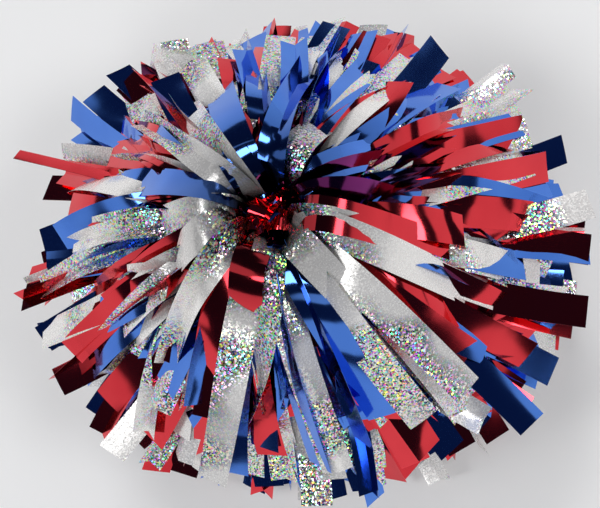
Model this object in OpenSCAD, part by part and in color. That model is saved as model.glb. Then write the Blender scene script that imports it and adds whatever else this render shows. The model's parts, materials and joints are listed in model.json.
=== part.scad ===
// Cheer pom pom on a baton handle, standing on its lower fringe.
// Two heads of slit metallic film are bound to the ends of a moulded baton. Each head is a set of
// fans of strands, set in tiers round the baton, and the gap between the heads is the hand space.
// Origin: on the surface it stands on, under the middle of the baton. +Z is up, along the baton.

/* [Fringe] */
// Length of a strand from the binding to its square end, at the two sides
side_reach = 144; // [132:2:148]
// Length taken up by a strand at the front and back, where the fringe is pressed together
front_reach = 120; // [112:2:132]
// Thickness of a fan of strands
fan_thickness = 4; // [3:0.5:4]
// Number of fans round the baton in each tier
fan_count = 6; // [4:1:8]
// Angle left free between neighbouring fans
fan_gap_angle = 3.5; // [3:0.5:6]
// Angle left free between neighbouring crown fans, which lean in towards each other
crown_gap_angle = 5; // [5:0.5:7]

/* [Tiers] */
// Angle above level at which the crown strands leave the baton
crown_launch = 66; // [60:1:68]
// Angle below level of the crown strands at their ends
crown_droop = 50; // [40:1:54]
// Angle above level at which the shoulder strands leave the baton
shoulder_launch = 26; // [24:1:30]
// Angle below level of the shoulder strands at their ends
shoulder_droop = 48; // [44:1:50]
// Angle below level at which the flank strands leave the baton
flank_fall = 8; // [6:1:10]
// Angle below level of the flank strands at their ends
flank_droop = 34; // [30:1:36]
// Angle above level at which the lower strands leave the baton
lower_launch = 12; // [8:1:13]
// Angle below level of the lower strands at their ends
lower_droop = 10; // [8:1:14]
// Angle below level at which the base strands fall to the surface
base_fall = 52; // [46:1:56]

/* [Baton] */
// Height of the middle of the baton above the surface
baton_height = 98; // [96:1:104]
// Length of the grip between the two flanges
grip_length = 76; // [72:2:80]
// Outer radius of the grip
grip_radius = 12; // [11:0.5:13]
// Number of ribs moulded round the grip
grip_ribs = 8; // [4:1:9]
// Outer radius of the baton's tube
tube_radius = 9; // [8.5:0.5:9.5]
// Wall of the baton's tube
tube_wall = 2; // [1.5:0.5:2.5]
// Radius of the flange at each end of the grip
flange_radius = 20; // [18:1:22]
// Thickness of each flange
flange_thickness = 3; // [2.5:0.5:3]

/* [Binding] */
// Radius over the film wound on each neck
band_radius = 14; // [13:0.5:14.5]
// Thickness of the tie's strap
tie_thickness = 1.2; // [1:0.1:1.4]
// Width of the tie's strap
tie_width = 3; // [2.5:0.5:3]
// Height of the centre tuft over the upper cap
tuft_height = 17; // [12:1:20]

/* [Hidden] */
$fn = 96;

// The strands turn at this radius, just outside the binding
root_radius = 19;
// Heights over the middle of the baton at which the three upper tiers leave the binding
flank_root = 48;
shoulder_root = 53.5;
crown_root = 59;
// Heights below the middle of the baton at which the two lower tiers leave the binding
lower_root = 48;
base_root = 56;

half_grip = grip_length / 2;
flange_top = half_grip + flange_thickness;
band_top = 60;
cap_thickness = 3;
cap_radius = 13;
cap_plug_length = 10;
tie_offset = 0.6;
tie_head_length = 5;
tie_head_width = 5;
tie_head_height = 3.8;
rib_radius = 1;
rib_margin = 8;
tuft_tip_radius = 9;
tuft_base_radius = 12;

fan_pitch = 360 / fan_count;

FILM_COLOURS = ["crimson", "royalblue", "silver"];
TIERS = ["crown", "shoulder", "flank", "lower", "base"];
BATON_NODES = ["baton_tube", "grip_sleeve", "upper_flange", "lower_flange", "upper_end_cap",
               "lower_end_cap", "upper_film_band", "lower_film_band", "upper_cable_tie",
               "lower_cable_tie", "centre_tuft"];

// Direction of fan i in a tier. A staggered tier is turned by half a pitch.
function fan_azimuth(i, staggered) = (i - 1) * fan_pitch + (staggered ? fan_pitch / 2 : 0);

// Length of the strands by direction: the plan of the fringe is an ellipse, widest from side to side
function reach(azimuth) = side_reach * front_reach
    / sqrt(pow(front_reach * cos(azimuth), 2) + pow(side_reach * sin(azimuth), 2));

// Radius of an arc of a given length that turns through a given angle
function bend_radius(length, turn) = length * 180 / (PI * turn);

// The three films follow each other round a tier
function film_colour(i, shift) = FILM_COLOURS[(i + shift) % len(FILM_COLOURS)];

// A slice of the plane from one angle to another, wide enough to cut a ring of this radius
module slice(from_angle, to_angle, radius) {
    far = radius * 2;
    middle_angle = (from_angle + to_angle) / 2;
    polygon([[0, 0],
             [far * cos(from_angle), far * sin(from_angle)],
             [far * cos(middle_angle), far * sin(middle_angle)],
             [far * cos(to_angle), far * sin(to_angle)]]);
}

// Part of a flat ring, fan_thickness wide, from one angle to another
module arc_band(radius, from_angle, to_angle) {
    intersection() {
        difference() {
            circle(r = radius + fan_thickness / 2, $fn = 180);
            circle(r = radius - fan_thickness / 2, $fn = 180);
        }
        slice(from_angle, to_angle, radius);
    }
}

// Side view of strands that leave the baton at launch above level and end at droop below level
module arching_profile(root_z, launch, droop, length) {
    radius = bend_radius(length, launch + droop);
    translate([root_radius + radius * sin(launch), root_z - radius * cos(launch)])
        arc_band(radius, 90 - droop, 90 + launch);
}

// Side view of strands that fall to the surface and then lie flat on it
module lying_profile(root_z, fall, length) {
    radius = (root_z - fan_thickness / 2) / (1 - cos(fall));
    touch_x = root_radius + radius * sin(fall);
    lying_length = length - radius * fall * PI / 180;
    translate([touch_x, radius + fan_thickness / 2])
        arc_band(radius, -90 - fall, -90);
    translate([touch_x, 0])
        square([lying_length, fan_thickness]);
}

// Turns a side view into a fan round the baton, centred on one direction
module fan(azimuth, gap_angle = fan_gap_angle) {
    span = fan_pitch - gap_angle;
    rotate([0, 0, azimuth - span / 2])
        rotate_extrude(angle = span, $fn = 180)
            children();
}

module crown_fringe(i) {
    azimuth = fan_azimuth(i, false);
    color(film_colour(i, 0))
        fan(azimuth, crown_gap_angle)
            arching_profile(baton_height + crown_root, crown_launch, crown_droop, reach(azimuth));
}

module shoulder_fringe(i) {
    azimuth = fan_azimuth(i, true);
    color(film_colour(i, 1))
        fan(azimuth)
            arching_profile(baton_height + shoulder_root, shoulder_launch, shoulder_droop,
                            reach(azimuth));
}

module flank_fringe(i) {
    azimuth = fan_azimuth(i, false);
    color(film_colour(i, 2))
        fan(azimuth)
            arching_profile(baton_height + flank_root, -flank_fall, flank_droop, reach(azimuth));
}

module lower_fringe(i) {
    azimuth = fan_azimuth(i, false);
    color(film_colour(i, 0))
        fan(azimuth)
            arching_profile(baton_height - lower_root, lower_launch, lower_droop, reach(azimuth));
}

module base_fringe(i) {
    azimuth = fan_azimuth(i, true);
    color(film_colour(i, 1))
        fan(azimuth)
            lying_profile(baton_height - base_root, base_fall, reach(azimuth));
}

// A flat ring standing on a height of the baton
module collar(outer_radius, inner_radius, bottom_z, height) {
    translate([0, 0, baton_height + bottom_z])
        difference() {
            cylinder(r = outer_radius, h = height);
            translate([0, 0, -1])
                cylinder(r = inner_radius, h = height + 2);
        }
}

// Puts the upper copy of a part below the middle of the baton
module mirrored_below() {
    translate([0, 0, 2 * baton_height])
        mirror([0, 0, 1])
            children();
}

module baton_tube() {
    color("white")
        collar(tube_radius, tube_radius - tube_wall, -band_top, 2 * band_top);
}

module grip_sleeve() {
    rib_pitch = (grip_length - 2 * rib_margin) / (grip_ribs - 1);
    color("whitesmoke")
        difference() {
            collar(grip_radius, tube_radius, -half_grip, grip_length);
            for (rib = [0 : grip_ribs - 1])
                translate([0, 0, baton_height - half_grip + rib_margin + rib * rib_pitch])
                    rotate_extrude()
                        translate([grip_radius + rib_radius / 4, 0])
                            circle(r = rib_radius, $fn = 24);
        }
}

module upper_flange() {
    color("white")
        collar(flange_radius, tube_radius, half_grip, flange_thickness);
}

module lower_flange() {
    mirrored_below()
        upper_flange();
}

module upper_end_cap() {
    color("white")
        translate([0, 0, baton_height + band_top]) {
            cylinder(r = cap_radius, h = cap_thickness);
            translate([0, 0, -cap_plug_length])
                cylinder(r = tube_radius - tube_wall, h = cap_plug_length);
        }
}

module lower_end_cap() {
    mirrored_below()
        upper_end_cap();
}

module upper_film_band() {
    color("royalblue")
        collar(band_radius, tube_radius, flange_top, band_top - flange_top);
}

module lower_film_band() {
    mirrored_below()
        upper_film_band();
}

module upper_cable_tie() {
    strap_z = flange_top + tie_offset;
    color("ivory") {
        collar(band_radius + tie_thickness, band_radius, strap_z, tie_width);
        translate([band_radius + tie_thickness / 2, -tie_head_width / 2,
                   baton_height + strap_z])
            cube([tie_head_length, tie_head_width, tie_head_height]);
    }
}

module lower_cable_tie() {
    mirrored_below()
        upper_cable_tie();
}

module centre_tuft() {
    color("crimson")
        translate([0, 0, baton_height + band_top + cap_thickness])
            cylinder(r1 = tuft_base_radius, r2 = tuft_tip_radius, h = tuft_height);
}

baton_tube();
grip_sleeve();
upper_flange();
lower_flange();
upper_end_cap();
lower_end_cap();
upper_film_band();
lower_film_band();
upper_cable_tie();
lower_cable_tie();
centre_tuft();
for (i = [1:fan_count]) {
    crown_fringe(i);
    shoulder_fringe(i);
    flank_fringe(i);
    lower_fringe(i);
    base_fringe(i);
}
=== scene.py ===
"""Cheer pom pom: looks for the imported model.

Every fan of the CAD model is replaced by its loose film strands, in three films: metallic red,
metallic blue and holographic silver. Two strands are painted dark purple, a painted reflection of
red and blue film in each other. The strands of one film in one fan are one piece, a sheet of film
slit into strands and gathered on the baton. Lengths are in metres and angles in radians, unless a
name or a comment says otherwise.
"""
import json
import math
import random

import bpy
from mathutils import Matrix, Vector


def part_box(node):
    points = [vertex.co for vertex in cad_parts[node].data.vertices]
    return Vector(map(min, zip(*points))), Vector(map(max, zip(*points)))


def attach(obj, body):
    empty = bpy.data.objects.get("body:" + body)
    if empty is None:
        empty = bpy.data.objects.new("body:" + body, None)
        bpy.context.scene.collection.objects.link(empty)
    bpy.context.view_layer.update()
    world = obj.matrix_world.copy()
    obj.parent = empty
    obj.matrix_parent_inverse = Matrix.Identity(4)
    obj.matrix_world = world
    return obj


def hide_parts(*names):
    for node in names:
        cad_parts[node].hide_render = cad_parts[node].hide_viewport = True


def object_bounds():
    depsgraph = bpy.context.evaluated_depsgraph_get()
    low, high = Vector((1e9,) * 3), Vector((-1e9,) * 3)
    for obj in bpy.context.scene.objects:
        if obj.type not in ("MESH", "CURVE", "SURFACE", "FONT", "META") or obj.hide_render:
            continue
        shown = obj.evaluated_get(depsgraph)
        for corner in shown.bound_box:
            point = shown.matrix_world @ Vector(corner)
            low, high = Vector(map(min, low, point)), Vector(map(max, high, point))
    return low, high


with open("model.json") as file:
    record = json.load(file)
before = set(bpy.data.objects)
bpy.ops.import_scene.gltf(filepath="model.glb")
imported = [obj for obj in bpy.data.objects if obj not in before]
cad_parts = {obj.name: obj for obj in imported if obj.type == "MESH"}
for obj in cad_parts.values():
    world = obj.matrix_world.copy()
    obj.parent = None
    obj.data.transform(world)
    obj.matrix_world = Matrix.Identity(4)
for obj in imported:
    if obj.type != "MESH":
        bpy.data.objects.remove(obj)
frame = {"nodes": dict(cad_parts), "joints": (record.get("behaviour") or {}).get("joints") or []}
CAD_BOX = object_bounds()

MM = 0.001
FAN_COUNT = 6
FILMS = ("red", "blue", "silver")
# The purple colour is a painted reflection of red and blue film in each other; it counts as blue
# film.
FILM_SLOTS = {"red": "red_film", "blue": "blue_film", "silver": "silver_film", "plum": "blue_film"}
LONGEST_STRAND = 145 * MM
STRAND_WIDTH = 16 * MM
FILM_THICKNESS = 0.12 * MM
# Length over which a strand darkens towards its root: painted shade of the deep gaps at the baton
ROOT_SHADE_LENGTH = 70 * MM
# Faces along and across a strand
STEPS_ALONG = 20
STEPS_ACROSS = 4

# What the film reflects: pale walls, and a dark ceiling and gaps. The camera sees a plain backdrop.
WALL_LIGHT = (0.76, 0.76, 0.76, 1)
CEILING_LIGHT = (0.016, 0.024, 0.048, 1)
BACKDROP_LIGHT = (0.82, 0.82, 0.82, 1)
# Distant soft lamps: azimuth and elevation in degrees, and strength in watts per square metre
LAMPS = {
    "back_light": (105, 48, 0.90),
    "left_light": (190, 45, 0.68),
    "right_light": (350, 45, 0.68),
    "front_light": (265, 45, 0.52),
}
LAMP_DEGREES_ACROSS = 20
# The studio's pale patches: their scale, the noise values at which they end on the walls and on
# the ceiling, and the height, as the sine of the elevation, at which the walls end
PATCH_SCALE = 1.9
WALL_PATCH_EDGE = (0.45, 0.47)
CEILING_PATCH_EDGE = (0.36, 0.38)
WALL_TOP_EDGE = (0.44, 0.48)

BAND_LOW, BAND_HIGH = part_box("upper_film_band")
LOWER_BAND_LOW, LOWER_BAND_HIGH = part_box("lower_film_band")
CAP_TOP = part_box("upper_end_cap")[1].z
BAND_RADIUS = BAND_HIGH.x
FLOOR_Z = CAD_BOX[0].z
# Half axes of the fringe's plan, an ellipse
SIDE_REACH = 163 * MM
FRONT_REACH = 143 * MM

# What each tier's strands do: how many there are in a fan, the stretch of a strand that bends to
# level, its length as a multiple of its reach, and the steepest droop at its end, in degrees. The
# launch, which is the angle above level at the root in degrees, and the reach, a share of the
# fringe's plan, go from the top of the tier to its underside.
TIERS = {
    "crown": {"count": 24, "launch": (70, 50), "bend": (0.0, 0.36), "slack": (1.22, 1.45),
              "reach": (0.46, 0.72), "droop": 100},
    "shoulder": {"count": 36, "launch": (42, 8), "bend": (0.0, 0.5), "slack": (1.10, 1.28),
                 "reach": (0.62, 0.90), "droop": 90},
    "flank": {"count": 32, "launch": (12, -28), "bend": (0.0, 0.8), "slack": (1.06, 1.25),
              "reach": (0.82, 0.97), "droop": 80},
    "lower": {"count": 28, "launch": (30, -4), "bend": (0.0, 1.0), "slack": (1.02, 1.10),
              "reach": (0.84, 0.97), "droop": 28},
    "base": {"count": 24, "launch": (-28, -56), "bend": (0.25, 0.8), "slack": (1.04, 1.10),
             "reach": (0.86, 0.97), "droop": 3},
}
# What a strand does unless its tier says otherwise: the share of its length at which its droop
# has settled, the height of its waves in degrees, the mean and spread of its turn in degrees, and
# the chances of a fold across it and a crease along it.
USUAL_HABITS = {"settled": (0.5, 1.0), "waves": (0.5, 3), "turn": (0, 15), "kinked": 0.2,
                "creased": 0.3}
# Height at which each tier's strands leave the band
ROOT_HEIGHT = {
    "crown": BAND_HIGH.z - 1 * MM,
    "shoulder": BAND_HIGH.z - 6 * MM,
    "flank": BAND_LOW.z + 7 * MM,
    "lower": LOWER_BAND_HIGH.z - 7 * MM,
    "base": LOWER_BAND_LOW.z + 4 * MM,
}

# The strands on top of the crown, listed one by one: film, heading of the end and turn on the way
# to it in degrees, reach in millimetres, and the rolls at the root and the end in degrees. A strand
# near the start of the list lies under a later one.
CROWN_STRANDS = [
    ("blue", 120, 0, 104, 20, 0), ("silver", 186, 5, 106, 60, 5), ("red", 98, 0, 100, 15, 5),
    ("silver", 74, -10, 106, 50, 0), ("blue", 63, 0, 112, 60, 5), ("silver", 54, 5, 114, 80, 8),
    ("red", 45, -20, 102, 60, 50), ("blue", 32, -15, 106, 60, 10), ("silver", 20, 0, 98, 60, 5),
    ("silver", 14, -25, 86, 60, 12), ("blue", 13, 10, 94, 40, -20), ("blue", 338, -5, 104, 40, 0),
    ("red", 325, 5, 110, 60, 5), ("red", 212, 10, 90, 30, 35), ("red", 200, 5, 96, 50, -30),
    ("blue", 275, -10, 84, 30, 0), ("silver", 254, -5, 128, 60, 10), ("silver", 282, 5, 122, 60, 5),
    ("blue", 279, 10, 118, 80, 50), ("blue", 290, -5, 112, 80, 60), ("red", 244, 10, 100, 50, 10),
    ("silver", 306, 5, 116, 60, 5), ("silver", 318, -5, 120, 60, -5), ("blue", 298, 5, 104, 70, 20),
    ("silver", 141, 5, 98, 60, 5), ("silver", 127, -5, 96, 70, 0), ("blue", 114, 0, 92, 15, -5),
    ("blue", 164, 10, 94, 80, 5), ("silver", 181, 0, 80, 20, 0), ("blue", 121, 0, 66, 8, 0),
    ("blue", 84, 5, 92, 60, 30), ("silver", 231, 15, 88, 50, 0), ("silver", 253, -45, 94, 60, 40),
    # the two purple strands in this list carry a painted reflection of red and blue film in each
    # other
    ("silver", 65, 5, 64, 20, 0), ("blue", 31, -5, 78, 50, 20), ("plum", 28, 10, 74, 70, 50),
    ("silver", 342, 5, 96, 75, 0), ("silver", 205, 10, 66, 15, 15), ("plum", 6, -10, 66, 50, 35),
    ("silver", 314, 5, 78, 15, 0), ("silver", 352, 20, 72, 85, 0), ("red", 256, 0, 68, 8, 0),
    ("red", 352, 5, 92, 10, 0),
]


# ---------------------------------------------------------------- camera and light

def add_camera():
    """Nearly overhead, a little to the front and the right, with +Y up in the picture."""
    target = Vector((0.003, -0.005, 0.095))
    outward = Vector((0.14, -0.18, 1.0)).normalized()
    distance = 0.54
    picture_up = Vector((0.0, 1.0, 0.0))
    up = (picture_up - outward * picture_up.dot(outward)).normalized()
    right = up.cross(outward)
    data = bpy.data.cameras.new("camera")
    data.lens = 60.0
    data.clip_start = 0.01
    camera = bpy.data.objects.new("camera", data)
    turn = Matrix((right, up, outward)).transposed().to_4x4()
    camera.matrix_world = Matrix.Translation(target + outward * distance) @ turn
    bpy.context.scene.collection.objects.link(camera)
    bpy.context.scene.camera = camera


def add_soft_light(name, azimuth_degrees, elevation_degrees, strength):
    """A distant white panel, seen as a disc."""
    data = bpy.data.lights.new(name, "SUN")
    data.angle = math.radians(LAMP_DEGREES_ACROSS)
    data.energy = strength
    lamp = bpy.data.objects.new(name, data)
    towards = direction(math.radians(azimuth_degrees), math.radians(elevation_degrees))
    lamp.rotation_euler = towards.to_track_quat("Z", "Y").to_euler()
    bpy.context.scene.collection.objects.link(lamp)


def add_studio():
    """The world: pale walls with dark gaps, and a dark ceiling with a few pale panels."""
    world = bpy.data.worlds.new("studio")
    bpy.context.scene.world = world
    world.use_nodes = True
    tree = world.node_tree
    background = tree.nodes["Background"]
    towards = tree.nodes.new("ShaderNodeTexCoord").outputs["Generated"]
    patches = link_noise(tree, towards, PATCH_SCALE, 0, offset=(0.3, 0.1, 0.6))
    wall_gaps = map_range(tree, patches, 0, 1, *WALL_PATCH_EDGE)
    walls = mix_colours(tree, wall_gaps, WALL_LIGHT, CEILING_LIGHT)
    ceiling_gaps = map_range(tree, patches, 0, 1, *CEILING_PATCH_EDGE)
    ceiling = mix_colours(tree, ceiling_gaps, WALL_LIGHT, CEILING_LIGHT)
    parts = tree.nodes.new("ShaderNodeSeparateXYZ")
    tree.links.new(towards, parts.inputs[0])
    height = map_range(tree, parts.outputs["Z"], 0, 1, *WALL_TOP_EDGE)
    light = mix_colours(tree, height, walls, ceiling)
    seen = tree.nodes.new("ShaderNodeLightPath").outputs["Is Camera Ray"]
    tree.links.new(mix_colours(tree, seen, light, BACKDROP_LIGHT), background.inputs["Color"])


def add_stage():
    """A wide sheet of pale paper, lit from within a little, and the lamps round it."""
    half_size = 6.0
    paper_z = FLOOR_Z - 0.3 * MM
    mesh = bpy.data.meshes.new("floor")
    corners = [(-1, -1), (1, -1), (1, 1), (-1, 1)]
    mesh.from_pydata([(x * half_size, y * half_size, paper_z) for x, y in corners], [],
                     [(0, 1, 2, 3)])
    floor = bpy.data.objects.new("floor", mesh)
    bpy.context.scene.collection.objects.link(floor)
    paper = bpy.data.materials.new("studio_paper")
    paper.use_nodes = True
    shader = paper.node_tree.nodes["Principled BSDF"]
    shader.inputs["Base Color"].default_value = (0.85, 0.85, 0.85, 1)
    shader.inputs["Roughness"].default_value = 0.9
    shader.inputs["Specular IOR Level"].default_value = 0.1
    shader.inputs["Emission Color"].default_value = (1, 0.98, 0.94, 1)
    shader.inputs["Emission Strength"].default_value = 0.12
    mesh.materials.append(paper)
    for name, (azimuth, elevation, strength) in LAMPS.items():
        add_soft_light(name, azimuth, elevation, strength)


# ---------------------------------------------------------------- materials

def link_noise(tree, coords, scale, detail, stretch=(1, 1, 1), offset=(0, 0, 0)):
    """Noise over these coordinates, which are stretched and then moved by the offset first."""
    mapping = tree.nodes.new("ShaderNodeMapping")
    mapping.inputs["Scale"].default_value = stretch
    mapping.inputs["Location"].default_value = offset
    noise = tree.nodes.new("ShaderNodeTexNoise")
    noise.inputs["Scale"].default_value = scale
    noise.inputs["Detail"].default_value = detail
    tree.links.new(coords, mapping.inputs["Vector"])
    tree.links.new(mapping.outputs["Vector"], noise.inputs["Vector"])
    return noise.outputs["Fac"]


def film_coordinates(tree):
    """Place on the flat film: metres across and along, and a number that differs by strand."""
    attribute = tree.nodes.new("ShaderNodeAttribute")
    attribute.attribute_name = "film_place"
    return attribute.outputs["Vector"]


def map_range(tree, value, low, high, from_low=0.3, from_high=0.7):
    """Maps a value to low..high. With no range given it is noise, mostly from 0.3 to 0.7."""
    node = tree.nodes.new("ShaderNodeMapRange")
    node.inputs["From Min"].default_value = from_low
    node.inputs["From Max"].default_value = from_high
    node.inputs["To Min"].default_value = low
    node.inputs["To Max"].default_value = high
    tree.links.new(value, node.inputs["Value"])
    return node.outputs["Result"]


def mix_colours(tree, factor, first, second):
    """Mixes two colours, each a constant or another node's output."""
    factor_socket, first_socket, second_socket, result_socket = 0, 6, 7, 2
    node = tree.nodes.new("ShaderNodeMix")
    node.data_type = "RGBA"
    for number, value in ((first_socket, first), (second_socket, second)):
        if isinstance(value, tuple):
            node.inputs[number].default_value = value
        else:
            tree.links.new(value, node.inputs[number])
    tree.links.new(factor, node.inputs[factor_socket])
    return node.outputs[result_socket]


def new_material(name):
    material = bpy.data.materials.new(name)
    material.use_nodes = True
    return material, material.node_tree, material.node_tree.nodes["Principled BSDF"]


def link_bump(tree, shader, height, strength, distance):
    bump = tree.nodes.new("ShaderNodeBump")
    bump.inputs["Strength"].default_value = strength
    bump.inputs["Distance"].default_value = distance
    tree.links.new(height, bump.inputs["Height"])
    tree.links.new(bump.outputs["Normal"], shader.inputs["Normal"])


def painted_root_shade(tree, place, colour):
    """Painted shade: the colour darkens towards the gathered root and clears towards the end."""
    parts = tree.nodes.new("ShaderNodeSeparateXYZ")
    tree.links.new(place, parts.inputs[0])
    most = 0.88
    # painted shade: darkest at the root, none past the shaded length
    root_shade_share = map_range(tree, parts.outputs["Y"], most, 0, 15 * MM, ROOT_SHADE_LENGTH)
    painted_shade_colour = (0.01, 0.01, 0.012, 1)
    return mix_colours(tree, root_shade_share, colour, painted_shade_colour)


def metallic_film(name, colour, deep_colour):
    """Metallised film: a mirror tinted by its lacquer, a little uneven, with soft dents.

    The large third stretch makes the pattern of each strand its own."""
    material, tree, shader = new_material(name)
    place = film_coordinates(tree)
    lacquer = link_noise(tree, place, 30, 2, stretch=(1, 1, 40))
    dents = link_noise(tree, place, 40, 1.5, stretch=(1, 1, 90))
    tint = mix_colours(tree, map_range(tree, lacquer, 0, 1), colour, deep_colour)
    # the base colour carries painted shade towards the root
    tree.links.new(painted_root_shade(tree, place, tint), shader.inputs["Base Color"])
    tree.links.new(map_range(tree, lacquer, 0.07, 0.12), shader.inputs["Roughness"])
    shader.inputs["Metallic"].default_value = 1.0
    link_bump(tree, shader, dents, strength=0.10, distance=0.6 * MM)
    return material


def multiply(tree, first, second):
    node = tree.nodes.new("ShaderNodeMath")
    node.operation = "MULTIPLY"
    tree.links.new(first, node.inputs[0])
    tree.links.new(second, node.inputs[1])
    return node.outputs[0]


def rainbow_tint(tree, hue):
    tint = tree.nodes.new("ShaderNodeCombineColor")
    tint.mode = "HSV"
    tint.inputs["Green"].default_value = 0.85
    tint.inputs["Blue"].default_value = 1.0
    tree.links.new(hue, tint.inputs["Red"])
    return tint.outputs["Color"]


def holographic_film(name):
    """Silver film pressed with a mosaic of tiny tilted facets, each with its own rainbow tint.

    Some zones of a strand glitter, and in the others the facets lie so flat that the film looks
    plain and pale. The random colour of a cell serves as three random numbers."""
    plain_colour = (0.97, 0.95, 0.92, 1)
    facets_per_metre = 1300
    material, tree, shader = new_material(name)
    place = film_coordinates(tree)
    cells = tree.nodes.new("ShaderNodeTexVoronoi")
    cells.inputs["Scale"].default_value = facets_per_metre
    tree.links.new(place, cells.inputs["Vector"])
    chance = tree.nodes.new("ShaderNodeSeparateColor")
    tree.links.new(cells.outputs["Color"], chance.inputs["Color"])
    zones = link_noise(tree, place, 22, 1, stretch=(1, 1, 60))
    glitter = map_range(tree, zones, 0, 1, 0.42, 0.56)
    coloured = map_range(tree, chance.outputs["Green"], 0, 1, 0.1, 0.7)
    colour = mix_colours(tree, multiply(tree, glitter, coloured), plain_colour,
                         rainbow_tint(tree, chance.outputs["Red"]))
    # the base colour carries painted shade towards the root
    tree.links.new(painted_root_shade(tree, place, colour), shader.inputs["Base Color"])
    tree.links.new(map_range(tree, glitter, 0.3, 1, 0, 1), shader.inputs["Metallic"])
    tree.links.new(map_range(tree, chance.outputs["Blue"], 0.12, 0.34, 0, 1),
                   shader.inputs["Roughness"])
    tilt = map_range(tree, glitter, 0.05, 0.60, 0, 1)
    tree.links.new(tilted_facets(tree, cells.outputs["Color"], tilt), shader.inputs["Normal"])
    return material


def tilted_facets(tree, random_colour, tilt):
    """The surface normal, tipped a different way in every cell."""
    centred = tree.nodes.new("ShaderNodeVectorMath")
    centred.operation = "SUBTRACT"
    centred.inputs[1].default_value = (0.5, 0.5, 0.5)
    tree.links.new(random_colour, centred.inputs[0])
    scaled = tree.nodes.new("ShaderNodeVectorMath")
    scaled.operation = "SCALE"
    tree.links.new(tilt, scaled.inputs["Scale"])
    tree.links.new(centred.outputs[0], scaled.inputs[0])
    surface = tree.nodes.new("ShaderNodeNewGeometry")
    added = tree.nodes.new("ShaderNodeVectorMath")
    added.operation = "ADD"
    tree.links.new(surface.outputs["Normal"], added.inputs[0])
    tree.links.new(scaled.outputs[0], added.inputs[1])
    unit = tree.nodes.new("ShaderNodeVectorMath")
    unit.operation = "NORMALIZE"
    tree.links.new(added.outputs[0], unit.inputs[0])
    return unit.outputs[0]


def moulded(name, colour, dark_colour, roughness, grain, bump_height):
    """Moulded plastic or foam: uneven colour, a fine grain and a gloss that varies with it."""
    material, tree, shader = new_material(name)
    coords = tree.nodes.new("ShaderNodeTexCoord").outputs["Object"]
    fine = link_noise(tree, coords, grain, detail=4)
    broad = link_noise(tree, coords, 60, detail=2)
    tint = mix_colours(tree, map_range(tree, broad, 0, 1), colour, dark_colour)
    tree.links.new(tint, shader.inputs["Base Color"])
    tree.links.new(map_range(tree, fine, roughness - 0.06, roughness + 0.08),
                   shader.inputs["Roughness"])
    link_bump(tree, shader, fine, 0.3, bump_height)
    return material


# ---------------------------------------------------------------- strands

def direction(azimuth, rise):
    return Vector((math.cos(azimuth) * math.cos(rise),
                   math.sin(azimuth) * math.cos(rise),
                   math.sin(rise)))


def smooth(low, high, value):
    """From 0 at low to 1 at high, with no corner at either end."""
    share = min(1.0, max(0.0, (value - low) / (high - low)))
    return share * share * (3 - 2 * share)


def shares():
    """Share of a strand's length at each of its cross lines."""
    return [k / STEPS_ALONG for k in range(STEPS_ALONG + 1)]


def rise_angles(launch, bend, droop, settled):
    """Angle above level along a strand: from launch to level by the bend, with a droop that has
    settled at a share of the length, past which the film is straight."""
    return [launch * (1 - smooth(bend[0], bend[1], share)) - droop * smooth(0, settled, share)
            for share in shares()]


def droop_to_reach(launch, bend, settled, length, reach, most):
    """The droop, at most this much, that brings a strand's end to this distance from its root."""
    low, high = 0.0, most
    halvings = 12
    for _ in range(halvings):
        middle = (low + high) / 2
        angles = rise_angles(launch, bend, middle, settled)
        if sum(math.cos(angle) for angle in angles[1:]) * length / STEPS_ALONG > reach:
            low = middle
        else:
            high = middle
    return low


def walk(root, headings, angles, length):
    """Points, directions and level cross directions along a strand."""
    step = length / STEPS_ALONG
    point = root.copy()
    path = []
    for heading, rise in zip(headings, angles):
        forward = direction(heading, rise)
        if path:
            point = point + forward * step
        level = Vector((-math.sin(heading), math.cos(heading), 0))
        path.append((point.copy(), forward, level))
    return path


def add_waves(angles, heights, dice):
    """Slight waves along the film, as it keeps from being packed."""
    height = math.radians(dice.uniform(*heights))
    waves = dice.uniform(1.5, 3.5)
    start = dice.random()
    bound_share = 0.3
    return [angle + height * math.sin(math.tau * (start + waves * share))
            * smooth(0, bound_share, share) for angle, share in zip(angles, shares())]


def add_kink(angles, headings, dice):
    """A sharp fold across the film, past which the strand goes off another way."""
    start = dice.uniform(0.45, 0.85)
    rise_change = math.radians(dice.choice((-60, -45, -30, -15)))
    heading_change = math.radians(dice.uniform(-25, 25))
    for k, share in enumerate(shares()):
        if share > start:
            angles[k] += rise_change
            headings[k] += heading_change


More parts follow.
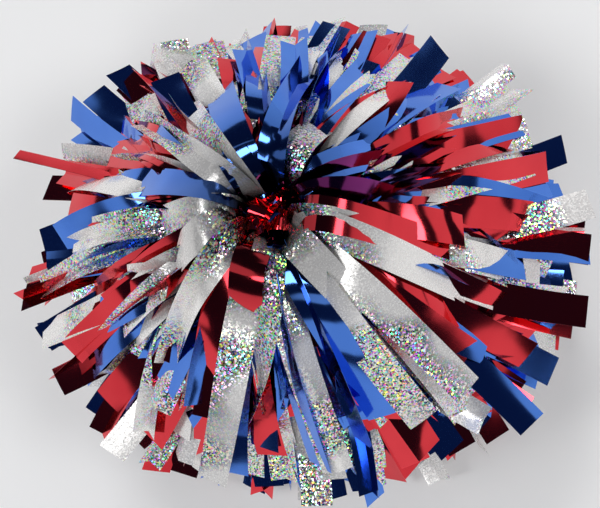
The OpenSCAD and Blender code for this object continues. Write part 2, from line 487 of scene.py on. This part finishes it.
class FilmPiece:
    """The strands of one film in one fan, gathered into one mesh.

    cut_away is the length of film missing between the neck and the start of each strand."""

    def __init__(self, name, cut_away=0.0):
        self.name = name
        self.cut_away = cut_away
        self.points = []
        self.faces = []
        self.places = []
        self.lengths = []

    def add_strand(self, path, length, rolls, cup, fold, number):
        """A closed ribbon along path: cup is its cross curve, fold the angle of a middle crease."""
        gathered_share, root_narrowing, root_cup = 0.22, 0.45, 5 * MM
        first = len(self.points)
        columns = STEPS_ACROSS + 1
        rows = len(path)
        for side in (0.5, -0.5):
            for k, (point, forward, level) in enumerate(path):
                share = k / (rows - 1)
                up = forward.cross(level).normalized()
                across = level * math.cos(rolls[k]) + up * math.sin(rolls[k])
                outward = forward.cross(across).normalized()
                gathered = (1 - min(1, share / gathered_share)) ** 2
                half = STRAND_WIDTH / 2 * (1 - root_narrowing * gathered)
                sag = cup + root_cup * gathered
                crease = fold * smooth(0.1, 0.6, share)
                for c in range(columns):
                    u = 2 * c / STEPS_ACROSS - 1
                    lift = sag * (0.5 - u * u) - abs(u) * half * math.sin(crease)
                    spot = point + across * (u * half * math.cos(crease)) + outward * lift
                    spot += outward * (side * FILM_THICKNESS)
                    spot.z = max(spot.z, FLOOR_Z + (1 + side) * FILM_THICKNESS)
                    self.points.append(spot)
                    along = self.cut_away + share * length
                    self.places.append((u * STRAND_WIDTH / 2, along, number))
        back = first + rows * columns
        for k in range(rows - 1):
            for c in range(STEPS_ACROSS):
                a = first + k * columns + c
                self.faces.append((a, a + columns, a + columns + 1, a + 1))
                b = back + k * columns + c
                self.faces.append((b, b + 1, b + columns + 1, b + columns))
        self._close_rim(first, back, rows, columns)
        self.lengths.append(length)

    def _close_rim(self, first, back, rows, columns):
        """Faces round the edge, which join a ribbon's two sides."""
        ring = [k * columns for k in range(rows)]
        ring += [(rows - 1) * columns + c for c in range(1, columns)]
        ring += [k * columns + columns - 1 for k in range(rows - 2, -1, -1)]
        ring += [c for c in range(columns - 2, 0, -1)]
        for here, there in zip(ring, ring[1:] + ring[:1]):
            self.faces.append((first + here, back + here, back + there, first + there))

    def build(self, material, body, node, slot):
        piece = film_object(self.name, self.points, self.faces, self.places, material)
        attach(piece, body)
        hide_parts(node)


def film_object(name, points, faces, places, material):
    """A mesh whose points know their place on the flat film."""
    sharpest_smooth_edge = math.radians(32)
    mesh = bpy.data.meshes.new(name)
    mesh.from_pydata(points, [], faces)
    attribute = mesh.attributes.new("film_place", "FLOAT_VECTOR", "POINT")
    attribute.data.foreach_set("vector", [v for place in places for v in place])
    mesh.materials.append(material)
    mesh.shade_smooth()
    mesh.set_sharp_from_angle(angle=sharpest_smooth_edge)
    piece = bpy.data.objects.new(name, mesh)
    bpy.context.scene.collection.objects.link(piece)
    return piece


def add_loose_strand(piece, root, heading, reach, length, launch, habits, end_rolls, dice):
    """One strand: turned on edge where it leaves its root, and facing out at its end."""
    habits = {**USUAL_HABITS, **habits}
    settled = dice.uniform(*habits["settled"])
    most = math.radians(habits["droop"])
    droop = droop_to_reach(launch, habits["bend"], settled, length, reach, most)
    angles = rise_angles(launch, habits["bend"], droop, settled)
    turn = math.radians(dice.gauss(*habits["turn"]))
    headings = [heading + turn * share for share in shares()]
    angles = add_waves(angles, habits["waves"], dice)
    if dice.random() < habits["kinked"]:
        add_kink(angles, headings, dice)
    root_roll, tip_roll = end_rolls
    untwisting = dice.uniform(1.4, 2.6)
    rolls = [tip_roll + (root_roll - tip_roll) * (1 - share) ** untwisting for share in shares()]
    fold = math.radians(dice.uniform(12, 50)) * dice.choice((-1, 1))
    if dice.random() > habits["creased"]:
        fold = 0
    cup = dice.uniform(-0.3, 0.5) * MM
    path = walk(root, headings, angles, length)
    piece.add_strand(path, length, rolls, cup, fold, dice.random())


def plan_radius(azimuth):
    """Radius of the fringe's plan, an ellipse, in one direction."""
    return SIDE_REACH * FRONT_REACH / math.hypot(FRONT_REACH * math.cos(azimuth),
                                                 SIDE_REACH * math.sin(azimuth))


def on_axis(radius, azimuth, height):
    """The point at this distance and direction from the baton's axis."""
    return Vector((radius * math.cos(azimuth), radius * math.sin(azimuth), height))


def fan_places():
    """Yields each fan's tier, number, direction, body and CAD node."""
    hinges = {joint["child"]: joint for joint in frame["joints"]}
    half_pitch = math.pi / FAN_COUNT
    for tier in TIERS:
        for i in range(1, FAN_COUNT + 1):
            body = f"{tier}_fan_{i}"
            if body in hinges:
                axis = hinges[body]["axis"]
                azimuth = math.atan2(axis[0], -axis[1])
            else:
                body = "baton"
                azimuth = (2 * i - 1) * half_pitch
            yield tier, i, azimuth, body, f"{tier}_fringe_{i}"


def film_runs(count, dice):
    """The films of neighbouring strands: short runs, because the sheets are stacked by film."""
    films = []
    while len(films) < count:
        for film in dice.sample(FILMS, len(FILMS)):
            films += [film] * dice.choice((1, 1, 2, 3))
    return films[:count]


def between(ends, share):
    return ends[0] + (ends[1] - ends[0]) * share


def add_tier_strands(pieces, tier, azimuth, dice):
    """The random strands of one fan. Its depth places a strand from top to underside, 0 to 1."""
    fan_degrees = 64
    root_heights = (2, -3)
    spread_of_rolls = 6 if tier == "base" else 24
    habits = TIERS[tier]
    count = habits["count"]
    for n, film in enumerate(film_runs(count, dice)):
        spread = ((n + 0.5) / count - 0.5) * fan_degrees + dice.uniform(-3, 3)
        heading = azimuth + math.radians(spread)
        depth = dice.random()
        share = between(habits["reach"], depth) + dice.uniform(-0.03, 0.03)
        reach = plan_radius(heading) * share - BAND_RADIUS
        launch = math.radians(between(habits["launch"], depth))
        root_z = ROOT_HEIGHT[tier] + between(root_heights, depth) * MM
        root = on_axis(BAND_RADIUS, heading, root_z)
        tip_roll = math.radians(dice.gauss(0, spread_of_rolls))
        root_roll = math.radians(dice.uniform(20, 80)) * dice.choice((-1, 1))
        length = min(LONGEST_STRAND, reach * dice.uniform(*habits["slack"]))
        add_loose_strand(pieces[film], root, heading, reach, length, launch, habits,
                         (root_roll, tip_roll), dice)


def add_crown_strands(pieces, fan_azimuth, dice):
    """The listed strands of one crown fan: the later in the list, the higher it arches.

    A strand stands upright for a length in millimetres, and then bends over in another. Its end
    is seen past its start by a share of its turn."""
    root_radius = 12 * MM
    upright_lengths = (3, 30)
    over_bend = 26
    slack = 16
    launch = math.radians(86)
    seen_turn = 0.6
    for n, (film, degrees, turn, reach, root_roll, tip_roll) in enumerate(CROWN_STRANDS):
        from_middle = math.remainder(math.radians(degrees) - fan_azimuth, math.tau)
        if not -math.pi / FAN_COUNT <= from_middle < math.pi / FAN_COUNT:
            continue
        start = math.radians(degrees - seen_turn * turn)
        upright = between(upright_lengths, n / len(CROWN_STRANDS))
        length = min(LONGEST_STRAND / MM, 0.98 * reach + slack + upright)
        bend = (upright / length, (upright + over_bend) / length)
        habits = {"bend": bend, "settled": (0.7, 0.8), "waves": (0, 0.6), "droop": 110,
                  "turn": (turn, 2), "kinked": 0, "creased": 0.1}
        root = on_axis(root_radius, start, ROOT_HEIGHT["crown"] + 1 * MM)
        rolls = (math.radians(root_roll * dice.choice((-1, 1))), math.radians(tip_roll))
        add_loose_strand(pieces[film], root, start, reach * MM - root_radius, length * MM,
                         launch, habits, rolls, dice)


def add_fringe(materials):
    """All the fans, each with one piece for each film in it."""
    for tier, i, azimuth, body, node in fan_places():
        dice = random.Random(f"{tier} {i}")
        pieces = {film: FilmPiece(f"{tier}_fan_{i}_{film}_film") for film in materials}
        add_tier_strands(pieces, tier, azimuth, dice)
        if tier == "crown":
            add_crown_strands(pieces, azimuth, dice)
        for film, piece in pieces.items():
            if piece.lengths:
                piece.build(materials[film], body, node, FILM_SLOTS[film])


# ---------------------------------------------------------------- binding and baton

def add_centre_tuft(materials):
    """Short crumpled ends of film that fill the hollow in the middle of the crown."""
    dice = random.Random("centre tuft")
    habits = {"bend": (0.35, 0.7), "droop": 130, "turn": (0, 40), "kinked": 1.0, "creased": 0.7}
    strand_counts = {"red": 8, "blue": 6}
    reach = 12 * MM
    for film, count in strand_counts.items():
        piece = FilmPiece(f"centre_tuft_{film}_film", cut_away=100 * MM)
        for n in range(count):
            heading = math.tau * n / count + dice.uniform(-0.4, 0.4)
            root = on_axis(dice.uniform(3, 9) * MM, heading + math.pi, CAP_TOP + 0.5 * MM)
            launch = math.radians(dice.uniform(70, 100))
            rolls = [math.radians(dice.gauss(0, 40)) for _ in range(2)]
            length = dice.uniform(30, 48) * MM
            add_loose_strand(piece, root, heading, reach, length, launch, habits, rolls, dice)
        piece.build(materials[film], "baton", "centre_tuft", FILM_SLOTS[film])


def add_film_band(node, material):
    """The pleated roots of the strands, wound on a neck of the baton under the tie.

    The pleats lean, by an angle in radians for each metre of height."""
    low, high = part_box(node)
    pleats, steps_round, rows = 26, 208, 7
    outer, pleat_depth, wall = BAND_RADIUS - 0.1 * MM, 1.3 * MM, 0.4 * MM
    lean_per_metre = 40
    height = high.z - low.z
    points, places = [], []
    for inset in (0, wall):
        for k in range(rows):
            z = low.z + height * k / (rows - 1)
            for n in range(steps_round):
                turn = math.tau * n / steps_round
                wave = math.sin(pleats * turn + lean_per_metre * (z - low.z))
                depth = pleat_depth * (0.5 + 0.5 * wave)
                radius = outer - depth - inset
                points.append(on_axis(radius, turn, z))
                places.append((turn * outer, z, 0.5))
    back = rows * steps_round
    faces = []
    for n in range(steps_round):
        m = (n + 1) % steps_round
        for k in range(rows - 1):
            a, b = k * steps_round, (k + 1) * steps_round
            faces.append((a + n, a + m, b + m, b + n))
            faces.append((back + a + n, back + b + n, back + b + m, back + a + m))
        top = (rows - 1) * steps_round
        faces.append((n, back + n, back + m, m))
        faces.append((top + n, top + m, back + top + m, back + top + n))
    piece = film_object(f"{node}_pleats", points, faces, places, material)
    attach(piece, "baton")
    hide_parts(node)


def finish_baton():
    """Materials for the CAD nodes that stay as they are."""
    plastic = moulded("baton_plastic", (0.86, 0.86, 0.84, 1), (0.78, 0.78, 0.77, 1), 0.32, 900,
                      0.05 * MM)
    foam = moulded("grip_foam", (0.72, 0.72, 0.70, 1), (0.60, 0.60, 0.59, 1), 0.72, 1400,
                   0.25 * MM)
    nylon = moulded("tie_nylon", (0.80, 0.78, 0.70, 1), (0.70, 0.68, 0.60, 1), 0.42, 700,
                    0.05 * MM)
    finishes = {"baton_tube": plastic, "upper_flange": plastic, "lower_flange": plastic,
                "upper_end_cap": plastic, "lower_end_cap": plastic, "grip_sleeve": foam,
                "upper_cable_tie": nylon, "lower_cable_tie": nylon}
    for node, material in finishes.items():
        slots = frame["nodes"][node].data.materials
        slots.clear()
        slots.append(material)


# ---------------------------------------------------------------- the whole model

add_camera()
add_studio()
add_stage()
bpy.context.scene.view_settings.view_transform = "Standard"

film_materials = {
    "red": metallic_film("red_film", (0.80, 0.055, 0.070, 1), (0.70, 0.040, 0.055, 1)),
    "blue": metallic_film("blue_film", (0.10, 0.26, 0.80, 1), (0.07, 0.20, 0.70, 1)),
    "silver": holographic_film("silver_film"),
    # painted reflection: red and blue film seen in each other, painted as a dark purple
    "plum": metallic_film("purple_painted_reflection", (0.30, 0.03, 0.22, 1), (0.16, 0.02, 0.14, 1)),
}
add_fringe(film_materials)
add_centre_tuft(film_materials)
add_film_band("upper_film_band", film_materials["blue"])
add_film_band("lower_film_band", film_materials["red"])
finish_baton()
